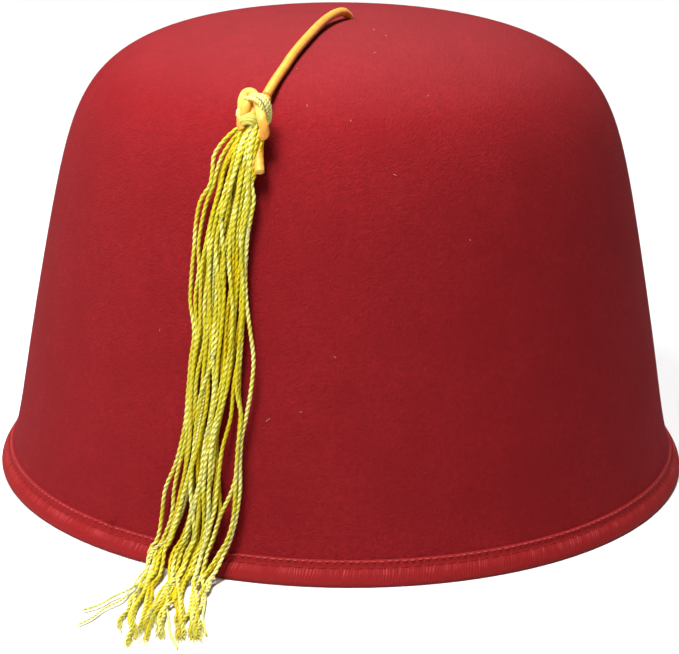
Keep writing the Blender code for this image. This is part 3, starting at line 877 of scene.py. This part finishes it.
# ---- threads ----
def add_strand(
        shape, line, tone=0.5, taper_end=0.0, diameter=STRAND_DIAMETER, pitch=STRAND_PITCH,
        crease_shade=STRAND_CREASE_SHADE):
    """Plies twisted round each other along a line, opening out toward a loose end on the floor."""
    tone = np.broadcast_to(tone, len(line))
    before = distances_along(line)
    line = evenly(line, pitch / STEPS_IN_A_TWIST)
    along = distances_along(line)
    tone = np.interp(along, before, tone) + random.uniform(*STRAND_TONES)
    for _ in range(TONE_WAVES):
        tone = tone + TONE_WAVE_SIZE * wave_along(along, TONE_WAVE_LENGTHS)
    across, upward = carried_frames(line)
    slack, left = np.zeros(len(line)), np.ones(len(line))
    if taper_end:
        slack = np.clip((SLACK_HEIGHT - line[:, 2]) / SLACK_DEPTH, 0, 1)
        left = np.clip((along[-1] - along) / taper_end, 0, 1)
    pitch = pitch * random.uniform(0.92, 1.08) * (1 + LOOSE_TWIST * slack)
    turned = math.tau * np.cumsum(np.gradient(along) / pitch) + random.uniform(0, math.tau)
    ply_radius = diameter * PLY_RADIUS * (0.3 + 0.7 * left) * (1 - 0.1 * slack)
    spread = diameter * (PLY_SPREAD + 0.20 * (1 - left) + 0.04 * slack)
    crease_shade = crease_shade * (1 - 0.4 * slack)
    if taper_end:
        crease_shade = crease_shade * np.interp(along, [0.003, 0.020], [0.6, 1])
    sides = np.arange(PLY_SIDES) * math.tau / PLY_SIDES
    for ply in range(PLIES):
        off = (turned + math.tau * ply / PLIES)[:, None]
        middle = line + spread[:, None] * (np.cos(off) * across + np.sin(off) * upward)
        frames = carried_frames(middle)
        away = unit(middle - line)
        facing = (
            np.cos(sides) * np.sum(frames[0] * away, axis=1)[:, None]
            + np.sin(sides) * np.sum(frames[1] * away, axis=1)[:, None])
        # painted shade in the creases between plies and a painted highlight on their ridges, by how each
        # point faces
        painted_highlight = RIDGE_PAINTED_HIGHLIGHT * np.clip(tone, 0.05, 1.0)[:, None] * np.maximum(facing, 0) ** 2
        light = tone[:, None] * (1 - crease_shade[:, None] * (1 - facing)) + painted_highlight
        shape.add_tube(middle, ply_radius, PLY_SIDES, frames, np.append(light.ravel(), [0.5, 0.5]))


def add_fray(shape, line):
    """Loose filaments at the end of a strand, spread flat and waving."""
    line = evenly(line, FRAY_STEP)
    length = distances_along(line)
    across = unit(np.cross(unit(np.gradient(line, axis=0)), (0, 0, 1)))
    ahead = unit(line[-1] - line[-4])
    share = np.linspace(0, 1, FRAY_POINTS)[:, None]
    for _ in range(FRAY_FILAMENTS):
        start = length[-1] - FRAY_LENGTH * random.uniform(0.4, 1.2)
        reach = np.linspace(max(start, 0), length[-1], FRAY_POINTS)
        middle = np.stack([np.interp(reach, length, column) for column in line.T], -1)
        beside = np.stack([np.interp(reach, length, column) for column in across.T], -1)
        middle = middle + ahead * random.uniform(-0.004, 0.003) * share**2
        wave = 0.25 * np.sin(math.tau * (random.uniform(0.8, 1.8) * share + random.uniform(0, 1)))
        middle = middle + beside * FRAY_WIDTH * (random.uniform(-1, 1) * share**1.2 + wave * share)
        rise = random.uniform(-1, 1) * FRAY_HEIGHT * (1 - 0.5 * share[:, 0])
        middle[:, 2] = np.maximum(middle[:, 2] + rise, FRAY_FLOOR)
        radii = np.linspace(*FRAY_RADII, FRAY_POINTS)
        shape.add_tube(middle, radii, FRAY_SIDES, tone=random.uniform(*FRAY_TONES))


def strand_lines():
    """The middle line of every strand, by group, from the photograph's rows."""
    runs, lifts, half_heights = (np.array(column) for column in zip(*BUNDLE_STATIONS))
    found = []
    for column, name in enumerate(STRAND_GROUPS):
        count, half_width, end = STRAND_ENDS[name]
        pixels = [
            (row[column + 1], row[0]) for row in STRAND_ROWS_PX
            if row[0] < end[1] - ROWS_BEFORE_END and row[column + 1]]
        route = []
        for pixel in pixels + [end]:
            run, turn = under_pixel(*pixel, USUAL_LIFT)
            run, turn = under_pixel(*pixel, float(np.interp(run / MM, runs, lifts)) * MM)
            route.append((run, turn))
        run, turn = smooth_through(route, STEPS_BETWEEN_ROWS).T
        on_floor = np.clip((run - RIM_RUN) / LAID_WITHIN, 0, 1)
        radius = np.linalg.norm(on_hat(run, 0, 0.002)[:, :2], axis=1)
        for number in range(count):
            alone = count == 1
            swing = random.uniform(*SWING_ANGLES) * wave_along(run, SWING_LENGTHS)
            angle = math.tau * (number + random.uniform(0.2, 0.5)) / count + swing
            side = half_width * (1 - LAID_NARROWER * on_floor) * np.cos(angle)
            side = side + (SIDE_WAVE_ALONE if alone else SIDE_WAVE) * wave_along(run, SIDE_WAVE_LENGTHS)
            side = side + SIDE_WAVE_ON_FLOOR * on_floor * wave_along(run, FLOOR_WAVE_LENGTHS)
            depth = (0.25 if alone else 0.85) * np.sin(angle)
            lift = np.interp(run / MM, runs, lifts) + depth * np.interp(run / MM, runs, half_heights)
            line = on_hat(run, turn + np.degrees(side * MM / radius), lift * MM)
            cut = 0 if alone else random.uniform(*STRAND_CUTS)
            length = distances_along(line)
            keep = length < length[-1] + min(cut, 0)
            # a strand deeper in its group gets a lower tone as painted shade under the others; a strand alone
            # gets a high tone, and all are lighter past a run of 0.15 m
            tone = (1.05 if alone else 0.40 + 0.55 * np.sin(angle)) + 0.15 * (run > 0.15)
            found.append((name, line[keep], tone[keep]))
    return found


def make_threads(material):
    """The skirt's strands in pieces from left to right; returns the threads round the knot."""
    lines = strand_lines()
    for piece, groups in THREAD_PIECES.items():
        shape = Shape()
        for name, line, tone in lines:
            if name in groups:
                if name in THIN_GROUPS:
                    add_strand(shape, line, tone + THIN_EXTRA_TONE, THIN_TAPER, THIN_DIAMETER, THIN_PITCH)
                else:
                    add_strand(shape, line, tone, STRAND_TAPER)
                    add_fray(shape, line)
        shape.piece(piece, material, "yellow_threads", "tassel_skirt")
    shape = Shape()
    for rows, strands in KNOT_WRAPS.values():
        middle_line = smooth_through(at_knot(rows))
        out = unit(middle_line - knot_frame()[0])
        beside = unit(np.cross(unit(np.gradient(middle_line, axis=0)), out))
        for sideways, outward in strands:
            line = middle_line + beside * sideways * MM + out * outward * MM
            add_strand(shape, line, WRAP_TONE, pitch=WRAP_PITCH, crease_shade=WRAP_CREASE_SHADE)
    thickness, tone = KNOT_WINDING[3:]
    shape.add_tube(knot_winding(), thickness / 2 * MM, WINDING_SIDES, tone=tone)
    return shape.piece("threads_band", material, "yellow_threads")


# ---- felt and tape ----
def around(count):
    """Directions and angles evenly all round, from the front."""
    angles = np.arange(count) * math.tau / count
    return np.stack([np.sin(angles), -np.cos(angles)], -1), angles


def make_felt(material):
    """The felt shell, with the cord's hole as the middle of its rings."""
    ways, angles = around(FELT_COLUMNS)
    hole_radius = CORD_DIAMETER / 2 + FELT_HOLE_GAP
    exit_point = np.array(CORD_ROUTE[CORD_EXIT_POINT][:2])
    entry_point = np.array(CORD_ROUTE[CORD_ENTRY_POINT][:2])
    foot = BINDING_FLOOR + PIECE_GAP
    faces = (
        (FELT_RADII, FELT_HEIGHTS, exit_point, FELT_RINGS_OUTSIDE),
        (INNER_RADII, INNER_HEIGHTS, entry_point, FELT_RINGS_INSIDE))
    sheets = []
    for radii, heights, centre, count in faces:
        runs = np.concatenate([[0], np.cumsum(np.hypot(np.diff(radii), np.diff(heights)))])
        first = np.interp(foot, heights, runs)
        wanted = np.linspace(first, runs[-1] - hole_radius, count)
        rings = []
        for radius, height in zip(np.interp(wanted, runs, radii), np.interp(wanted, runs, heights)):
            shift = centre * np.clip(1 - (radius - hole_radius) / HOLE_REACH, 0, 1)
            flat = ways * radius + shift
            reach = np.linalg.norm(flat, axis=1)
            if np.abs(shift).max() > 0:
                height = np.interp(-reach, -radii, heights)
            ripple = FELT_RIPPLE * np.sin(3 * angles + 40 * radius) * np.sin(math.pi * radius / 0.1)
            rings.append(np.column_stack([
                flat * (1 + ripple / radius)[:, None], np.broadcast_to(height, len(ways))]))
        sheets.append(rings)
    shape = Shape()
    shape.add_rings(np.array(sheets[0] + sheets[1][::-1]), closed=True)
    return shape.piece("felt_crown", material, "red_felt", "crown")


def make_tape(material):
    """Ribbed tape over the felt's edge, its bulge drawn in at each stitch."""
    columns = TAPE_RIBS * 4
    ways, angles = around(columns)
    shape = Shape()
    rows = []
    tones = []
    # random strengths of the painted glints on the ribs, in runs of six ribs
    painted_rib_glints = random.uniform(0.1, 1, TAPE_RIBS) * np.repeat(random.uniform(0.4, 1.2, TAPE_RIBS // 6), 6)
    lean = RIB_LEAN * (1 + 0.6 * np.sin(17 * angles) * np.sin(41 * angles))
    for height, thickness, depth, tone, wear_and_glint in TAPE_OUTSIDE:
        phase = TAPE_RIBS * angles / 2 - lean * height
        rib = np.abs(np.cos(phase))
        pull = np.abs(np.sin(TAPE_STITCHES * angles / 2)) ** 0.5
        full = STITCH_PULL * (pull - 1) * math.exp(
            -((height - STITCH_PULL_HEIGHT) / STITCH_PULL_REACH) ** 2)
        reach = felt_outside(height * MM) + PIECE_GAP + (thickness + depth * (rib - 1) + full) * MM
        rows.append(np.column_stack([ways * reach[:, None], np.full(columns, height * MM)]))
        # painted shade between the ribs, and painted glints on the crests of some ribs
        lit = painted_rib_glints[np.round(phase / math.pi).astype(int) % TAPE_RIBS]
        tones.append(tone * (0.7 + 0.3 * rib**2) + wear_and_glint * lit * rib**3 - 0.15 * wear_and_glint)
    shape.add_rings(np.array(rows), tone=np.array(tones))
    shape.piece("ribbed_tape", material, "red_ribbed_tape", "edge_binding")

    columns = TAPE_RIBS * 2
    ways, angles = around(columns)
    rib = np.abs(np.cos(TAPE_RIBS * angles / 2))

    def inner_face(height):
        return felt_inside(max(height * MM, 0.0012)) - PIECE_GAP - TAPE_INSIDE_THICKNESS

    # from under the outside's edge, in along the floor and up the inside of the felt
    leg = [(0.0, felt_outside(0.0) + 0.0005), (0.0, inner_face(0.0) + 0.0006)]
    leg += [(height, inner_face(height) + outward * MM) for height, outward in TAPE_INSIDE]
    rows = []
    for height, reach in leg:
        reach = reach - TAPE_INSIDE_RIB * (rib - 1) * (height > 0)
        rows.append(np.column_stack([ways * reach[:, None], np.full(columns, height * MM)]))
    shape = Shape()
    shape.add_rings(np.array(rows)[::-1])
    shape.piece("ribbed_tape_inside", material, "red_ribbed_tape")


def make_stitches(material):
    """Stitches lying in the crease above the tape's bulge and along its top edge."""
    shape = Shape()
    reach = felt_outside(CREASE_STITCH_HEIGHT) + PIECE_GAP + CREASE_STITCH_LIFT
    shares = np.linspace(0.14, 0.86, 7)
    out = reach + 0.00012 * np.sin(math.pi * (shares - 0.14) / 0.72) - 0.0001
    for number in range(TAPE_STITCHES):
        angle = math.tau / TAPE_STITCHES * (number + shares)
        line = around_axis(out, angle, CREASE_STITCH_HEIGHT + 0.0001 * (shares - 0.5))
        # a lower tone: painted shade in the crease
        shape.add_tube(line, CREASE_STITCH_RADIUS, STITCH_SIDES, tone=0.4)
    count, height, thickness = EDGE_STITCHES
    reach = felt_outside(height * MM) + PIECE_GAP + thickness * MM
    shares = np.linspace(0.0, 0.66, 6)
    bow = np.sin(math.pi * shares / 0.66)
    out = reach + 0.00020 * bow - 0.00012
    for number in range(count):
        angle = math.tau / count * (number + shares + random.uniform(-0.08, 0.08))
        slope, shift = random.uniform(-0.0001, 0.0002), random.uniform(-0.00006, 0.00006)
        line = around_axis(out, angle, height * MM + slope * (shares - 0.3) + shift)
        radius = random.uniform(*EDGE_STITCH_RADII) * (0.5 + 0.5 * bow)
        # a higher tone: painted highlights on the stitches along the top edge
        shape.add_tube(line, radius, STITCH_SIDES, tone=random.uniform(0.8, 1.3))
    return shape.piece("tape_stitches", material, "red_ribbed_tape")


def make_lint(material, felt):
    """Bits of pale lint caught on the felt, and a tuft of red fibres at the tape's edge."""
    shape = Shape()
    for column, row, length in LINT_PX:
        run, turn = under_pixel(column, row, 0.0)
        share = np.linspace(-0.4, 0.4, 9)
        way = random.uniform(0, math.pi)
        curl = random.uniform(-0.6, 0.6)
        along = share * length * math.cos(way) + curl * length * (share**2 - 0.1) * math.sin(way)
        beside = share * length * math.sin(way) - curl * length * (share**2 - 0.1) * math.cos(way)
        turns = turn + np.degrees(beside * MM / USUAL_RADIUS)
        line = on_hat(run + along * MM, turns, 0.00005 + 0.00010 * np.cos(math.pi * share))
        shape.add_tube(line, LINT_RADIUS, LINT_SIDES)
    lint = shape.piece("lint", material, "red_felt")
    shape = Shape()
    run, turn = under_pixel(*LOOSE_FIBRES_PX, 0.0)
    share = np.linspace(0, 1, 8)
    for _ in range(LOOSE_FIBRES):
        lean = random.uniform(-0.8, 0.8)
        runs = run + (0.0008 - 0.0022 * share) + random.normal(0, 0.0002)
        turns = turn + random.uniform(-0.5, 0.5) + lean * share
        line = on_hat(runs, turns, 0.0002 + 0.0006 * np.sin(math.pi * share) * random.uniform(0.3, 1))
        shape.add_tube(line, LINT_RADIUS, LINT_SIDES)
    return lint, shape.piece("loose_fibres", felt, "red_ribbed_tape")


# ---- stage and light ----
def make_stage():
    """A pale floor under soft light from the upper left."""
    mesh = bpy.data.meshes.new("floor")
    half = FLOOR_HALF_WIDTH
    corners = [(-half, -half, 0), (half, -half, 0), (half, half, 0), (-half, half, 0)]
    mesh.from_pydata(corners, [], [(0, 1, 2, 3)])
    floor = bpy.data.objects.new("floor", mesh)
    bpy.context.scene.collection.objects.link(floor)
    paint = Paint("pale_floor", 0.9)
    paint.shader.inputs["Base Color"].default_value = FLOOR_COLOUR
    mesh.materials.append(paint.material)

    world = bpy.context.scene.world or bpy.data.worlds.new("world")
    bpy.context.scene.world = world
    world.use_nodes = True
    background = world.node_tree.nodes["Background"]
    background.inputs["Color"].default_value = (1, 1, 1, 1)
    background.inputs["Strength"].default_value = WORLD_STRENGTH
    for name, (azimuth, elevation, distance, size, strength) in LIGHTS.items():
        lamp = bpy.data.lights.new(name, "AREA" if distance else "SUN")
        lamp.energy = strength
        if distance:
            lamp.shape = "DISK"
            lamp.size = size
        else:
            lamp.angle = size
        light = bpy.data.objects.new(name, lamp)
        bpy.context.scene.collection.objects.link(light)
        a, e = math.radians(azimuth), math.radians(elevation)
        towards = Vector((math.sin(a) * math.cos(e), -math.cos(a) * math.cos(e), math.sin(e)))
        light.location = LIGHTS_AIM + towards * distance
        light.rotation_mode = "QUATERNION"
        light.rotation_quaternion = towards.to_track_quat("Z", "Y")
    bpy.context.scene.view_settings.view_transform = "Standard"


def main():
    felt, tape = felt_paint(), tape_paint()
    golden, yellow = cord_paint(), thread_paint()
    cord, cord_line = make_cord(golden)
    knot = make_knot(golden)
    inner_knot = make_inner_knot(golden)
    threads_band = make_threads(yellow)
    make_felt(felt)
    make_tape(tape)
    make_stitches(tape)
    make_lint(lint_paint(), felt)
    make_stage()


main()
